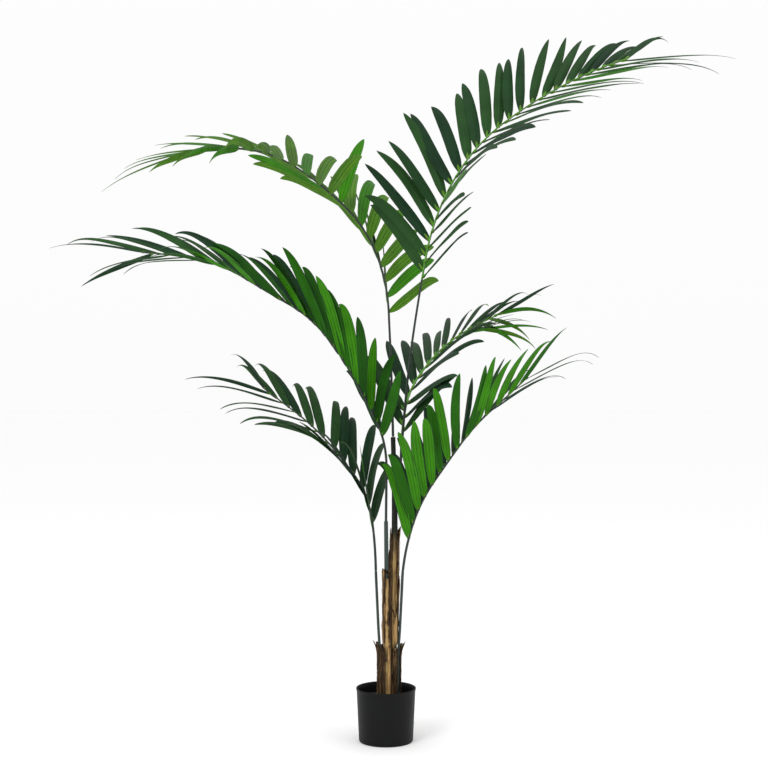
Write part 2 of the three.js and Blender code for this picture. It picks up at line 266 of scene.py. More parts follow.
# Fill
# The pot's weight: dark cast fill poured round the canes, crumbly on top, which sets hard and holds
# the two canes and two side tubes. It ends 25 mm below the rim.
FILL_TOP, FILL_SIDES, FILL_WALL_ROWS, FILL_TOP_ROWS = 110, 120, 8, 30
FILL_FLOOR, FILL_GAP = POT_FLOOR + 0.5, 0.4
FILL_SUNK = 1.5  # the top's mean level lies this far below its highest crumb
CRUMBS = ((9, 1.3), (3.2, 0.8), (1.4, 0.3))  # sizes of the crumbs, and how high they stand
cast = Finish("dark_cast_fill", Roughness=0.95)
crumb = cast.grain(cast.place(), 420, 5, 0.7)
clod = cast.grain(cast.place(), 90, 3)
cast["Base Color"] = cast.blend(crumb.held(0.4, 0.7), (0.006, 0.005, 0.004), (0.035, 0.028, 0.02))
cast.relief(crumb + clod, 0.9, 0.0015)

inner = pot_radius(FILL_TOP) - POT_WALL - 0.3
fill_heights = np.linspace(12, FILL_TOP - 3, FILL_WALL_ROWS)
side = [(CENTRE, FILL_FLOOR), (pot_radius(POT_FLOOR) - POT_WALL - 5, FILL_FLOOR)]
side += [(pot_radius(height) - POT_WALL - FILL_GAP, height) for height in fill_heights]
level_top = [(radius, FILL_TOP - FILL_SUNK) for radius in np.linspace(inner - 1, CENTRE, FILL_TOP_ROWS)]
rows = turned(side + level_top, FILL_SIDES)
for ring in rows[len(side):]:
    for point in ring:
        lump = sum(noise.noise(Vector(point) / size) * height for size, height in CRUMBS)
        point[2] += min(lump, FILL_SUNK)
fill_piece = Piece("cast_fill", cast)
fill_piece.skin(rows)
fill = fill_piece.made(60)
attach(fill, "root")
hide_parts("pot_fill")

# Canes
# Two real palm canes, stripped to their long pale fibres, stand in the fill side by side and carry
# the upper fronds. Their bark is ridged lengthwise, with golden streaks and darker scars, and
# where the leaves hide it, it is darkened to black-green as painted shade.
SOCKET_FLOOR = 40
BEND_STEPS = 60


def along(stations, t):
    """Value at share t of a list of evenly spaced stations."""
    return np.interp(t, np.linspace(0, 1, len(stations)), stations)


def bend(points, count):
    """Evenly spaced points of one smooth line through the given ones."""
    given = [np.array(p, float) for p in points]
    given = [2 * given[0] - given[1], *given, 2 * given[-1] - given[-2]]
    line = []
    for p0, p1, p2, p3 in zip(given, given[1:], given[2:], given[3:]):
        d0, d1, d2 = (math.sqrt(np.linalg.norm(b - a)) for a, b in ((p0, p1), (p1, p2), (p2, p3)))
        leave = ((p1 - p0) / d0 - (p2 - p0) / (d0 + d1) + (p2 - p1) / d1) * d1
        arrive = ((p2 - p1) / d1 - (p3 - p1) / (d1 + d2) + (p3 - p2) / d2) * d1
        square = 3 * (p2 - p1) - 2 * leave - arrive
        cube = 2 * (p1 - p2) + leave + arrive
        for s in np.linspace(0, 1, BEND_STEPS, endpoint=False):
            line.append(p1 + leave * s + square * s**2 + cube * s**3)
    line = np.array([*line, given[-2]])
    walked = np.concatenate([[0], np.cumsum(np.linalg.norm(np.diff(line, axis=0), axis=1))])
    even = np.linspace(0, walked[-1], count)
    return np.stack([np.interp(even, walked, line[:, k]) for k in range(3)], 1)


def round_rows(line, radii, sides):
    """Circular rows round a line that runs mostly upward, with no twist."""
    line = np.asarray(line, float)
    ahead = np.gradient(line, axis=0)
    ahead /= np.linalg.norm(ahead, axis=1)[:, None]
    aside = np.cross(ahead, (0.0, 1.0, 0.0))
    weak = np.linalg.norm(aside, axis=1) < 0.2
    aside[weak] = np.cross(ahead[weak], (1.0, 0.0, 0.0))
    aside /= np.linalg.norm(aside, axis=1)[:, None]
    other = np.cross(ahead, aside)
    turns = np.arange(sides) / sides * 2 * np.pi
    radii = np.broadcast_to(np.asarray(radii, float), (len(line),))
    right, back = np.cos(turns)[None, :, None], np.sin(turns)[None, :, None]
    spokes = aside[:, None] * right + other[:, None] * back
    return line[:, None] + spokes * radii[:, None, None]


def rough(turn, height, tight, drawn):
    """Roughness of something upright: tight round it and drawn out along it."""
    return noise.noise(Vector((math.cos(turn) * tight, math.sin(turn) * tight, height / drawn)))


CANES = {  # the points of each cane's centre line, and its radii from foot to top
    "cane_left": ([(1, -6, SOCKET_FLOOR), (1.5, -6, 250), (2.5, -6, 413)], (9.4, 9.2, 8.6)),
    "cane_right": (
        [(17.5, 15, SOCKET_FLOOR), (19, 15, 300), (22, 11.5, 520), (21.7, 7.8, 620), (18, 15, 770)],
        (9.2, 8.7, 8, 6.5),
    ),
}
CANE_ROWS, CANE_SIDES = 260, 44
BARK_SUNK, RIDGES, NICKS, PROUD = 0.45, 0.55, 0.3, 0.1  # relief of the bark
CROWN_SHADE_HEIGHTS = (0.44, 0.53)  # metres up the canes, between which the painted shade under the crown sets in
bark = Finish("pale_fibrous_bark", Specular_IOR_Level=0.25)
streak = bark.grain(bark.place((420, 420, 9)), 1, 4, 0.6)
thread = bark.grain(bark.place((1500, 1500, 30)), 1, 3, 0.6)
patch = bark.grain(bark.place((60, 60, 16)), 1, 4, 0.6)
tan = bark.blend(streak.held(0.33, 0.62), (0.17, 0.095, 0.034), (0.6, 0.4, 0.16))
scarred = bark.blend(patch.held(0.5, 0.66), tan, (0.045, 0.026, 0.013))
# Painted shade under the leaves: the bark darkens to black-green between 0.44 and 0.53 m up, and stays so
# above.
painted_crown_shade = bark.metres_along(2).held(*CROWN_SHADE_HEIGHTS)
bark["Base Color"] = bark.blend(painted_crown_shade, scarred, (0.012, 0.015, 0.01))
bark["Roughness"] = 0.62 + 0.3 * thread
bark.relief(streak * 0.6 + thread * 0.4, 0.7, 0.0009)

for name, (path, radii) in CANES.items():
    line = bend(path, CANE_ROWS)
    rows = round_rows(line, along(radii, np.linspace(0, 1, len(line))), CANE_SIDES)
    for row, centre in zip(rows, line):
        for k, point in enumerate(row):
            turn = k / CANE_SIDES * 2 * math.pi
            depth = -BARK_SUNK
            depth += RIDGES * rough(turn, centre[2], 4.5, 95)
            depth += NICKS * rough(turn, centre[2], 2, 14)
            point += (point - centre) / np.linalg.norm(point - centre) * min(depth, PROUD)
    cane_piece = Piece(name + "_bark", bark)
    cane_piece.skin(rows)
    cane = cane_piece.made(70)
    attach(cane, "root")
    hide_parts(name)

# Side tubes
# Three green plastic tubes: two rise beside the canes from the fill and sleeve the lower fronds'
# wires, and a third stands on the left cane and sleeves the middle-left frond.
TUBES = {  # as for the canes
    "tube_left": ([(-15.5, -3, SOCKET_FLOOR), (-16.2, -3, 230), (-19.5, 0, 290), (-26, 6, 431)], (3.5, 3.5)),
    "tube_right": ([(31.5, 11, SOCKET_FLOOR), (32, 11, 225), (35.5, 8, 285), (42.6, -3.5, 433)], (3.5, 3.5)),
    "tube_upper": ([(1.5, -6.5, 413.3), (0.7, -7.8, 486), (0, -9, 558)], (5.7, 5.4, 5.13)),
}
TUBE_ROWS, TUBE_SIDES = 90, 28
EASED_EDGE = (0.12, 0.5)  # how far the last two rows draw in
TUBE_DARK, TUBE_FILMED = (0.008, 0.02, 0.016), (0.026, 0.044, 0.035)
green = Finish("grey_green_tube", Specular_IOR_Level=0.45)
film = green.grain(green.place((70, 70, 12)), 1, 4, 0.6)
dust = green.grain(green.place((500, 500, 90)), 1, 3)
green["Base Color"] = green.blend(film.held(0.3, 0.7), TUBE_DARK, TUBE_FILMED)
green["Roughness"] = 0.34 + 0.25 * film
green.relief(dust, 0.25, 0.0004)

for name, (path, radii) in TUBES.items():
    line = bend(path, TUBE_ROWS)
    radius = along(radii, np.linspace(0, 1, len(line)))
    radius[-2:] -= EASED_EDGE
    tube_piece = Piece(name + "_sleeve", green)
    tube_piece.skin(round_rows(line, radius, TUBE_SIDES))
    tube = tube_piece.made(50)
    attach(tube, "root")
    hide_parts(name)

# Husks
# Brown leaf-sheath fibre, the coarse natural web that grows round a palm's stem. Two pieces are
# still on the canes, split down the front, and two more are wrapped round the bundle at the pot.
# Their edges are torn, and single fibres stand away from them.

# Each husk's centre line and half widths, the turns between which it is open, how far its top is
# torn, how many loose fibres it has, and at which turn and how far its top flares.
HUSKS = {
    "wrap_left": dict(
        foot=(-5.1, -5, 110.3), top=(-5.1, -5, 248), half=(16.3, 14), thick=1.5, open=(-74, -52),
        torn=16, fibres=110, flare=(178, 7), seed=3,
    ),
    "wrap_right": dict(
        foot=(22.4, 13.6, 110.3), top=(22.4, 13.6, 240), half=(14.9, 12.2), thick=1.5, open=(-62, -30),
        torn=24, fibres=90, flare=(2, 6), seed=5,
    ),
    "husk_left": dict(
        foot=(1.9, -6, 250), top=(2.5, -6, 432), half=(9.7, 9.7), thick=1.5, open=(-112, -66),
        torn=26, fibres=130, flare=(200, 2), seed=7,
    ),
    "husk_right": dict(
        foot=(19, 15.4, 252), top=(22.4, 12.2, 528), half=(10.2, 10.2), thick=1.3, open=(-116, -62),
        torn=34, fibres=220, flare=(10, 3), seed=9,
    ),
}
HUSK_COLUMNS, HUSK_ROWS = 97, 70
HUSK_INSIDE = 0.45  # how far a husk's inner side lies outside its half widths
FIBRE_STEPS, FIBRE_SIDES, FIBRE_FOOT, FIBRE_TIP = 12, 5, 0.34, 0.1
FLAPS = (  # torn web on the right cane: its turns, its heights and how far it stands off
    ((-50, 40), (296, 400), 7.5),
    ((-70, 10), (352, 452), 6.0),
    ((120, 200), (330, 470), 3.0),
    ((-128, -34), (238, 322), 1.5),
)
FLAP_STEPS, FLAP_MIDDLE, FLAP_RADIUS, FLAP_TORN = 40, (19.8, 14.3), 12.2, 26
WRAPS_BEGIN = (0.262, 0.225)  # metres up, from which the wraps darken downward
SEAM_LEFT, SEAM_RIGHT = (0.003, 0.0045), (0.012, 0.0105)  # metres along, where the wraps meet
web = Finish("brown_sheath_fibre", Specular_IOR_Level=0.12)
lines = web.grain(web.place((800, 800, 12)), 1, 5, 0.7)
fold = web.grain(web.place((110, 110, 16)), 1, 4, 0.6)
gold = web.grain(web.place((190, 190, 5)), 1, 3, 0.55)
brown = web.blend(lines.held(0.34, 0.7), (0.015, 0.008, 0.005), (0.11, 0.058, 0.027))
golden = web.blend(lines.held(0.3, 0.66), (0.2, 0.11, 0.04), (0.58, 0.37, 0.15))
streaked = web.blend(gold.held(0.53, 0.58) * 0.95, brown, golden)
aged = web.blend(fold.held(0.5, 0.58) * 0.85, streaked, (0.01, 0.007, 0.005))
near_fill = web.metres_along(2).held(*WRAPS_BEGIN)
wrapped = web.blend(near_fill * 0.45, aged, (0.012, 0.008, 0.005))
rightward = web.metres_along(0)
seam = rightward.held(*SEAM_LEFT) * rightward.held(*SEAM_RIGHT) * near_fill
web["Base Color"] = web.blend(seam * fold.held(0.64, 0.5), wrapped, golden)
web["Roughness"] = 0.75 + 0.2 * fold
web.relief(lines * 0.7 + fold * 0.3, 1.0, 0.0018)
fibre = Finish("single_husk_fibres", Roughness=0.7, Specular_IOR_Level=0.15)
aging = fibre.grain(fibre.place((220, 220, 20)), 1, 3).held(0.35, 0.65)
fibre["Base Color"] = fibre.blend(aging, (0.02, 0.011, 0.006), (0.17, 0.1, 0.045))


def husk_side(size, turns, high, slit, flared, radial):
    """One side of a husk's sheet, in rows from its foot to its torn top."""
    foot, top = np.array(size["foot"], float), np.array(size["top"], float)
    rows = []
    for k in range(HUSK_ROWS):
        share = k / (HUSK_ROWS - 1) * high
        centre = foot + (top - foot) * share[:, None]
        turn = turns + slit[k] * np.cos(np.linspace(0, np.pi, HUSK_COLUMNS))
        swell = np.array([
            0.8 * rough(a, z, 4, 50) + 0.5 * rough(a, z, 15, 60) for a, z in zip(turn, centre[:, 2])
        ])
        out = radial + swell + size["flare"][1] * flared * np.clip(share, 0, 1.1) ** 9
        centre[:, 0] += np.cos(turn) * (size["half"][0] + out)
        centre[:, 1] += np.sin(turn) * (size["half"][1] + out)
        rows.append(centre)
    return np.array(rows)


for name, size in HUSKS.items():
    chance = np.random.default_rng(size["seed"])
    foot, top = np.array(size["foot"], float), np.array(size["top"], float)
    open_from, open_to = size["open"]
    turns = np.radians(np.linspace(open_to, open_from + 360, HUSK_COLUMNS))
    rise = top[2] - foot[2]
    flared = np.exp(-((np.cos(turns - math.radians(size["flare"][0])) - 1) / 0.12) ** 2)
    tears = []
    for i in range(HUSK_COLUMNS):
        tears.append(1.5 * abs(noise.noise(Vector((i * 0.21, 0, rise)))) + 0.8 * chance.random() ** 3)
    high = 1 - size["torn"] / rise * np.array(tears) + 0.08 * flared
    slit = np.array([0.24 * noise.noise(Vector((0, k * 0.22, rise))) for k in range(HUSK_ROWS)])
    inside = husk_side(size, turns, high, slit, flared, HUSK_INSIDE)
    outside = husk_side(size, turns, high, slit, flared, size["thick"])
    husk_piece = Piece(name + "_web", web)
    husk_piece.skin(np.concatenate([outside, inside[:, ::-1]], 1))
    husk = husk_piece.made(80)
    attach(husk, "root")
    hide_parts(name)
    strands = Piece(name + "_fibres", fibre)
    for n in range(size["fibres"]):
        start, span = chance.uniform(0, 0.85), chance.uniform(0.12, 0.5)
        turn = turns[0] + (turns[-1] - turns[0]) * chance.random()
        if n % 4 == 0:
            start, span = chance.uniform(0.78, 0.95), chance.uniform(0.06, 0.16)
        drift, lift = chance.normal(0, 0.35), chance.uniform(0, 4.5) * (n % 3 == 0)
        line = []
        for s in np.linspace(0, 1, FIBRE_STEPS):
            share = min(start + span * s, 1.04)
            centre = foot + (top - foot) * share
            a = turn + drift * s + 0.05 * math.sin(7 * s + n)
            out = size["thick"] + 0.4 + lift * s * s + 0.5 * math.sin(5 * s + n) ** 2
            centre[0] += math.cos(a) * (size["half"][0] + out)
            centre[1] += math.sin(a) * (size["half"][1] + out)
            line.append(centre)
        radii = np.linspace(FIBRE_FOOT, FIBRE_TIP, FIBRE_STEPS) * chance.uniform(0.6, 1.6)
        cell = (n / size["fibres"], 0, (n + 0.9) / size["fibres"], 1)
        strands.skin(round_rows(line, radii, FIBRE_SIDES), cell=cell)
    loose = strands.made(80)
    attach(loose, "root")

flap_piece = Piece("torn_web", web)
for n, ((turn_from, turn_to), (low, high), stand) in enumerate(FLAPS):
    columns = np.linspace(0, 1, FLAP_STEPS)
    turns = np.radians(turn_from + (turn_to - turn_from) * columns)
    sheets = []
    for skin_out in (0.6, -0.4):
        rows = []
        for share in np.linspace(0, 1, FLAP_STEPS):
            ragged = np.array([noise.noise(Vector((c * 9, n * 3.3 + round(share), 0.5))) for c in columns])
            z = low + (high - low) * share + FLAP_TORN * ragged * abs(2 * share - 1) ** 2
            away = stand * (share * (1 - columns)) ** 1.4 + skin_out
            rumple = np.array([0.9 * noise.noise(Vector((c * 7, share * 3, n))) for c in columns])
            radius = FLAP_RADIUS + away + rumple
            x = FLAP_MIDDLE[0] + np.cos(turns) * radius
            y = FLAP_MIDDLE[1] + np.sin(turns) * radius
            rows.append(np.stack([x, y, z], 1))
        sheets.append(np.array(rows))
    cell = (n / len(FLAPS), 0, (n + 0.95) / len(FLAPS), 1)
    flap_piece.skin(np.concatenate([sheets[0], sheets[1][:, ::-1]], 1), cell=cell)
flap = flap_piece.made(80)
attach(flap, "root")

# Fronds
# Each frond has a wired midrib, moulded in dark green plastic with a shallow groove along its upper
# side, which is bright green on two of them. Its lower part is bare stalk, pushed into a tube or
# cane, and the wire inside is bent by hand.

# Leans are from the vertical and headings from +X, evenly spaced along the midrib, and facing is the
# way in which the blade arches. A leaflet leaves the midrib at its sweep. Its ring angle is 0 to the
# right and 90 on the upper side, and its turn is about itself, with up to spin degrees of chance.
FRONDS = {
    "top_right": dict(
        foot=(31.6, 2.6, 611), length=1443, bare=0.385, pairs=23, seed=11, facing=20,
        leans=(6, 7, 9, 10, 30, 53, 62, 70), headings=(-60, -45, -5, 14, 20, 22),
        near=dict(side=1, sweep=(56, 76, 74, 64, 60, 44), ring=(-4, 12, 0, -8, -14, -22),
                  turn=(35, 24, 15, 22, 28, 25)),
        far=dict(side=-1, sweep=(47, 50, 49, 46, 34, 27), ring=(122, 126, 147, 133, 150, 162),
                 turn=(10, 30, 20, 25, 36, 40)),
        breadth=(29, 32, 31, 26, 14), reach=(240, 262, 272, 262, 285), droop=0.22, curl=0.5, spin=8,
        under=("fresh", "deep"),
    ),
    "upper_left": dict(
        foot=(18, 18, 771), length=1112, bare=0.285, pairs=20, seed=23, facing=210,
        leans=(14, 10, 3, 21, 52, 64, 90, 108), headings=(95, 100, 150, 205, 214, 210, 206),
        near=dict(side=-1, sweep=(60, 66, 82, 56, 50, 44),
                  ring=(72, 72, 72, 62, 57, 52, 44, 180, 181, 182, 184, 186, 190, 194, 192, 190),
                  turn=(8, -24, -48, 8, 75, 95)),
        far=dict(side=1, sweep=(28, 28, 50, 50, 32, 16), ring=(30, 34, 8, 16, 10, -10),
                 turn=(-8, -13, -17, -6, 0, 10)),
        breadth=(30, 34, 31, 24, 14), reach=(240, 262, 258, 225), droop=0.25, curl=0.7, spin=12,
        under=("yellow", "yellow", "fresh"),
    ),
    "middle_left": dict(
        foot=(0, -9, 558.4), length=1025, bare=0.205, pairs=22, seed=37, facing=205,
        leans=(-2, -1, 31, 32, 41, 63, 61, 81, 89), headings=(255, 222, 208, 205, 203, 200),
        near=dict(side=-1, sweep=(38, 20, 19, 26, 34, 42), ring=(158, 112, 132, 160, 196, 210),
                  turn=(27, 5, -12, 5, 18, -15)),
        far=dict(side=1, sweep=(50, 42, 52, 46, 38, 40), ring=(16, 44, 38, 31, 28, 18),
                 turn=(110, 40, 33, 30, 36, 12)),
        breadth=(28, 26, 24, 19, 13), reach=(230, 246, 240, 262), droop=0.34, curl=0.7, spin=22,
        under=("deep", "forest", "deep", "fresh", "forest"),
    ),
    "middle_right": dict(
        foot=(30.5, 14.5, 641), length=693, bare=0.192, pairs=15, seed=41, facing=45,
        leans=(8, 2, 11, 45, 57, 65, 70, 70), headings=(10, 50, 40),
        near=dict(side=1, sweep=(46, 72, 34, 25, 118, 84), ring=(4, 26, 16, 0, -4, 5),
                  turn=(24, 5, 6, 12, 134, 110)),
        far=dict(side=-1, sweep=(45, 45, 38, 20, 10, 8), ring=(187, 186, 184, 160, 130, 90),
                 turn=(30, 28, 18, -18, -30, -50)),
        breadth=(28, 28, 19, 13, 11), reach=(230, 245, 240, 235), droop=0.3, curl=0.6, spin=14,
        under=("fresh", "yellow"),
    ),
    "lower_right": dict(
        foot=(43, -4, 433.6), length=623, bare=0.12, pairs=14, seed=53, facing=-35,
        leans=(8, 22, 39, 40, 52, 49), headings=(-38, -36, -32),
        near=dict(side=1, sweep=(29, 38, 39, 26, 30, 24), ring=(50, 24, 46, 28, 12, 0),
                  turn=(18, 20, 6, 24, 40, 15)),
        far=dict(side=-1, sweep=(50, 70, 75, 57, 62, 52), ring=(105, 117, 120, 136, 168, 178),
                 turn=(10, 10, 10, 10, 25, 15)),
        breadth=(29, 29, 24, 18, 12), reach=(240, 240, 240, 250), droop=0.25, curl=0.9, spin=10,
        under=("fresh", "fresh", "deep"),
    ),
    "lower_left": dict(
        foot=(-26, 6, 431.6), length=631, bare=0.14, pairs=12, seed=67, facing=146,
        leans=(1, 10, 43, 49, 59, 58), headings=(140, 145, 150),
        near=dict(side=-1, sweep=(8, 18, 55, 53, 56, 34), ring=(160, 168, 162, 182, 184, 184),
                  turn=(10, 15, -8, 8, 12, -18)),
        far=dict(side=1, sweep=(50, 36, 40, 28, 22, 18), ring=(-14, 14, 30, 22, 32, 12),
                 turn=(45, 5, 9, 24, 18, 18)),
        breadth=(26, 27, 26, 22, 15), reach=(215, 240, 240, 240), droop=0.36, curl=0.8, spin=10,
        under=("deep", "fresh"),
    ),
}
RIB_ROOT, RIB_TIP, RIB_STEPS, RIB_SIDES = 3.4, 1.7, 80, 16
GROOVE_DEPTH, GROOVE_WIDTH = 0.16, 0.35  # a share of the radius, and radians
STALK_ROWS, RIB_ROWS = 40, 90
RIB_GAP = 0.3  # air between a stalk and its midrib
BARE_END = 5  # a stalk ends this far below the first leaflet
BRIGHT_RIBS = ("top_right", "middle_right")
OFFSETS = {"near": 0.25, "far": 0.75}  # where the two leaflets of a pair leave, as a share of its step
STALK_DARK, STALK_WORN = (0.007, 0.015, 0.01), (0.022, 0.034, 0.026)


def unit(vector):
    return vector / np.linalg.norm(vector)


def midrib(frond):
    """Points of a midrib, each with its tangent, the direction to its right and its upper side."""
    point = np.array(frond["foot"], float)
    facing = math.radians(frond["facing"])
    level = np.array([math.sin(facing), -math.cos(facing), 0.0])
    line = []
    for i in range(RIB_STEPS + 1):
        t = i / RIB_STEPS
        lean = math.radians(along(frond["leans"], t))
        heading = math.radians(along(frond["headings"], t))
        tangent = np.array([
            math.sin(lean) * math.cos(heading), math.sin(lean) * math.sin(heading), math.cos(lean)
        ])
        if line:
            point = point + unit(tangent + line[-1][1]) * frond["length"] / RIB_STEPS
        upper = unit(np.cross(level, tangent))
        line.append(np.array([point, tangent, np.cross(tangent, upper), upper]))
    return np.array(line)


def place_at(line, t):
    """The midrib's point and directions at share t of it."""
    x = min(max(t, 0), 1) * RIB_STEPS
    i = min(int(x), RIB_STEPS - 1)
    return line[i] + (line[i + 1] - line[i]) * (x - i)


def rib_rows(line, start, end, rows):
    """Sections of a midrib: nearly round, with a shallow groove along the upper side."""
    turns = np.arange(RIB_SIDES) / RIB_SIDES * 2 * np.pi
    groove = 1 - GROOVE_DEPTH * np.exp(-(((turns - np.pi / 2) / GROOVE_WIDTH) ** 2))
    made = []
    for t in np.linspace(start, end, rows):
        point, _, right, upper = place_at(line, t)
        radius = (RIB_ROOT + (RIB_TIP - RIB_ROOT) * t) * groove
        aside, above = np.cos(turns) * radius, np.sin(turns) * radius
        made.append(point + right * aside[:, None] + upper * above[:, None])
    return np.array(made)


def stalk_end(frond):
    """Share of the midrib at which the bare stalk ends."""
    leaf_at = frond["bare"] + (1 - frond["bare"]) * OFFSETS["near"] / frond["pairs"]
    return leaf_at - BARE_END / frond["length"]


stalk_green = Finish("dark_stalk_plastic", Specular_IOR_Level=0.4)
wear = stalk_green.grain(stalk_green.place((45, 45, 45)), 1, 4, 0.6)
fleck = stalk_green.grain(stalk_green.place(), 700, 3)
stalk_green["Base Color"] = stalk_green.blend(wear.held(0.3, 0.7), STALK_DARK, STALK_WORN)
stalk_green["Roughness"] = 0.32 + 0.25 * wear
stalk_green.relief(fleck, 0.25, 0.0003)

rib_bright = Finish("bright_rib_groove", Specular_IOR_Level=0.45)
pale_spots = rib_bright.grain(rib_bright.place(), 60, 3).held(0.35, 0.65)
rib_bright["Base Color"] = rib_bright.blend(pale_spots, (0.05, 0.22, 0.012), (0.11, 0.36, 0.03))
rib_bright["Roughness"] = 0.35 + 0.2 * rib_bright.grain(rib_bright.place(), 300, 3)

for name, frond in FRONDS.items():
    line = midrib(frond)
    start = stalk_end(frond)
    stalk_piece = Piece("wired_stalk_" + name, stalk_green)
    stalk_piece.skin(rib_rows(line, 0, start, STALK_ROWS))
    stalk = stalk_piece.made(60)
    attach(stalk, "root")
    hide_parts("stalk_" + name)
    bright_sides = RIB_SIDES // 2 if name in BRIGHT_RIBS else 0
    upper_side = [1 if k < bright_sides else 0 for k in range(RIB_SIDES)]
    rib_piece = Piece("midrib_" + name, stalk_green, rib_bright)
    rib_piece.skin(rib_rows(line, start + RIB_GAP / frond["length"], 1, RIB_ROWS), upper_side)
    rib = rib_piece.made(60)
    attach(rib, "root")

# Leaflets
# Printed polyester cloth, cut by die to long points and creased under heat. The upper side is
# printed dark green round to its cut edge, the lower side in lighter greens with three veins, and a
# thin wire glued under the middle vein holds the curve. Tints are dealt by leaf, as by dye lot.
OUTLINE_AT = (0, 0.06, 0.15, 0.3, 0.5, 0.68, 0.82, 0.91, 0.965, 1)
STRAP = (0.28, 0.6, 0.83, 0.96, 1, 0.96, 0.8, 0.55, 0.3, 0.012)  # half-widths near a frond's root
WHIP = (0.28, 0.6, 0.84, 0.98, 0.9, 0.66, 0.4, 0.22, 0.12, 0.012)  # and near its tip
WHIP_BEGINS, WHIP_FULL = 0.35, 0.85  # shares of the frond between which the one becomes the other
SPREAD = 4  # degrees of chance in a leaflet's sweep and ring
LEAF_ROWS, ROW_CROWDING = 30, 0.95
CLOTH = 0.22  # half the cloth's thickness
FOLD_EASES = 0.6  # share of the fold that is gone at the point
PLEATS, PLEAT_DEPTH = 3.45, 0.05  # between the veins, as a share of the half-width
RIPPLES = 9  # radians of ripple along a leaflet's edge
LOW_SPOTS = np.array([1, 0.9, 0.62, 0.53, 0.3, 0.1, 0.045, -0.045, -0.1, -0.3, -0.53, -0.62, -0.9, -1])
TOP_SPOTS = -LOW_SPOTS
VEINS = (2, 6, 10)  # the strips of LOW_SPOTS that carry a vein
VEIN_HEIGHT, WIRE_HEIGHT = 0.12, 0.55
KNUCKLE = np.array([1.5, 2.4, 2.5, 2.1, 1.6, 1.1, 0.6])  # radii along a leaflet's moulded root
KNUCKLE_LENGTH, KNUCKLE_SIDES = 17, 8
STOUT, SLIGHT = 1.5, 0.85  # size of the knuckles on bright midribs, and on the others
DEAL_TIMES, DEAL_PLUS, DEAL_RANGE = 1664525, 1013904223, 2**32


def dealt(seed):
    """The same repeatable chance as grows the solids."""
    state = seed
    while True:
        state = (state * DEAL_TIMES + DEAL_PLUS) % DEAL_RANGE
        yield state / DEAL_RANGE


def outline(u, q):
    """Half-width at share u of a leaflet and q of its frond, as a share of the widest."""
    whip = np.interp(q, (WHIP_BEGINS, WHIP_FULL), (0, 1))
    return np.interp(u, OUTLINE_AT, STRAP) * (1 - whip) + np.interp(u, OUTLINE_AT, WHIP) * whip


def leaflet(place, q, side, sweep, ring, turned_by, length, breadth, droop, curl, wild):
    """Rows of a leaflet's closed section, from the midrib to the point. wild is its own twist in
    degrees, its fold, its sway to one side, its ripple, and where the ripple starts."""
    point, tangent, right, upper = place
    a, r = math.radians(sweep), math.radians(ring)
    across = right * math.cos(r) + upper * math.sin(r)
    start = tangent * math.cos(a) + across * math.sin(a)
    face = side * (upper * math.cos(r) - right * math.sin(r))
    face = np.array(Matrix.Rotation(math.radians(-side * turned_by), 3, Vector(start)) @ Vector(face))
    twist, fold, sway, ripple, phase = wild
    heading = start
    walked = 0.0
    rows = []
    for u in np.linspace(0, 1, LEAF_ROWS) ** ROW_CROWDING:
        if u > 0:
            middle = (u + walked) / 2
            bow = np.array([0, 0, -1.0]) * (droop * middle**2 + curl * middle**6)
            heading = unit(start + bow + sway * math.cos(middle * math.pi) * np.cross(start, face))
            point = point + heading * length * (u - walked)
            walked = u
        top = unit(face - heading * face.dot(heading))
        width = np.cross(heading, top)
        cos, sin = math.cos(math.radians(twist) * u), math.sin(math.radians(twist) * u)
        width, top = width * cos + top * sin, top * cos - width * sin
        half = breadth / 2 * outline(u, q)
        opened = fold * (1 - FOLD_EASES * u)

        def height(v):
            pleat = PLEAT_DEPTH * half * np.cos(v * PLEATS * np.pi) * (1 - u)
            crease = -opened * np.abs(v) * half + pleat
            return crease + ripple * half * np.sin(RIPPLES * u + phase + 2 * np.sign(v)) * np.abs(v) ** 3

        raised = np.zeros(len(LOW_SPOTS))
        raised[[strip + edge for strip in VEINS for edge in (0, 1)]] = VEIN_HEIGHT
        raised[[VEINS[1], VEINS[1] + 1]] = WIRE_HEIGHT * (1 - u)
        above, below = height(TOP_SPOTS) + CLOTH, height(LOW_SPOTS) - CLOTH - raised
        high = point + width * (TOP_SPOTS * half)[:, None] + top * above[:, None]
        low = point + width * (LOW_SPOTS * half)[:, None] + top * below[:, None]
        rows.append(np.concatenate([high, low]))
    return np.array(rows)


def cloth(name, colour, spread, gloss, shine):
    finish = Finish(name, Specular_IOR_Level=shine)
    spot = finish.place(sheet="lengths")
    tint = finish.grain(finish.place((14, 14, 14)), 1, 2)
    threads = {"Vector": spot, "Distortion": 0.6}
    weft = finish.node("TexWave", {"bands_direction": "Y"}, {**threads, "Scale": 700})
    warp = finish.node("TexWave", {"bands_direction": "X"}, {**threads, "Scale": 900})
    darker = [c * (1 - spread) for c in colour]
    lighter = [c * (1 + spread) for c in colour]
    finish["Base Color"] = finish.blend(tint.held(0.3, 0.7), darker, lighter)
    finish["Roughness"] = gloss + 0.12 * tint
    finish.relief(weft * 0.5 + warp * 0.5, 0.12, 0.0002)
    return finish


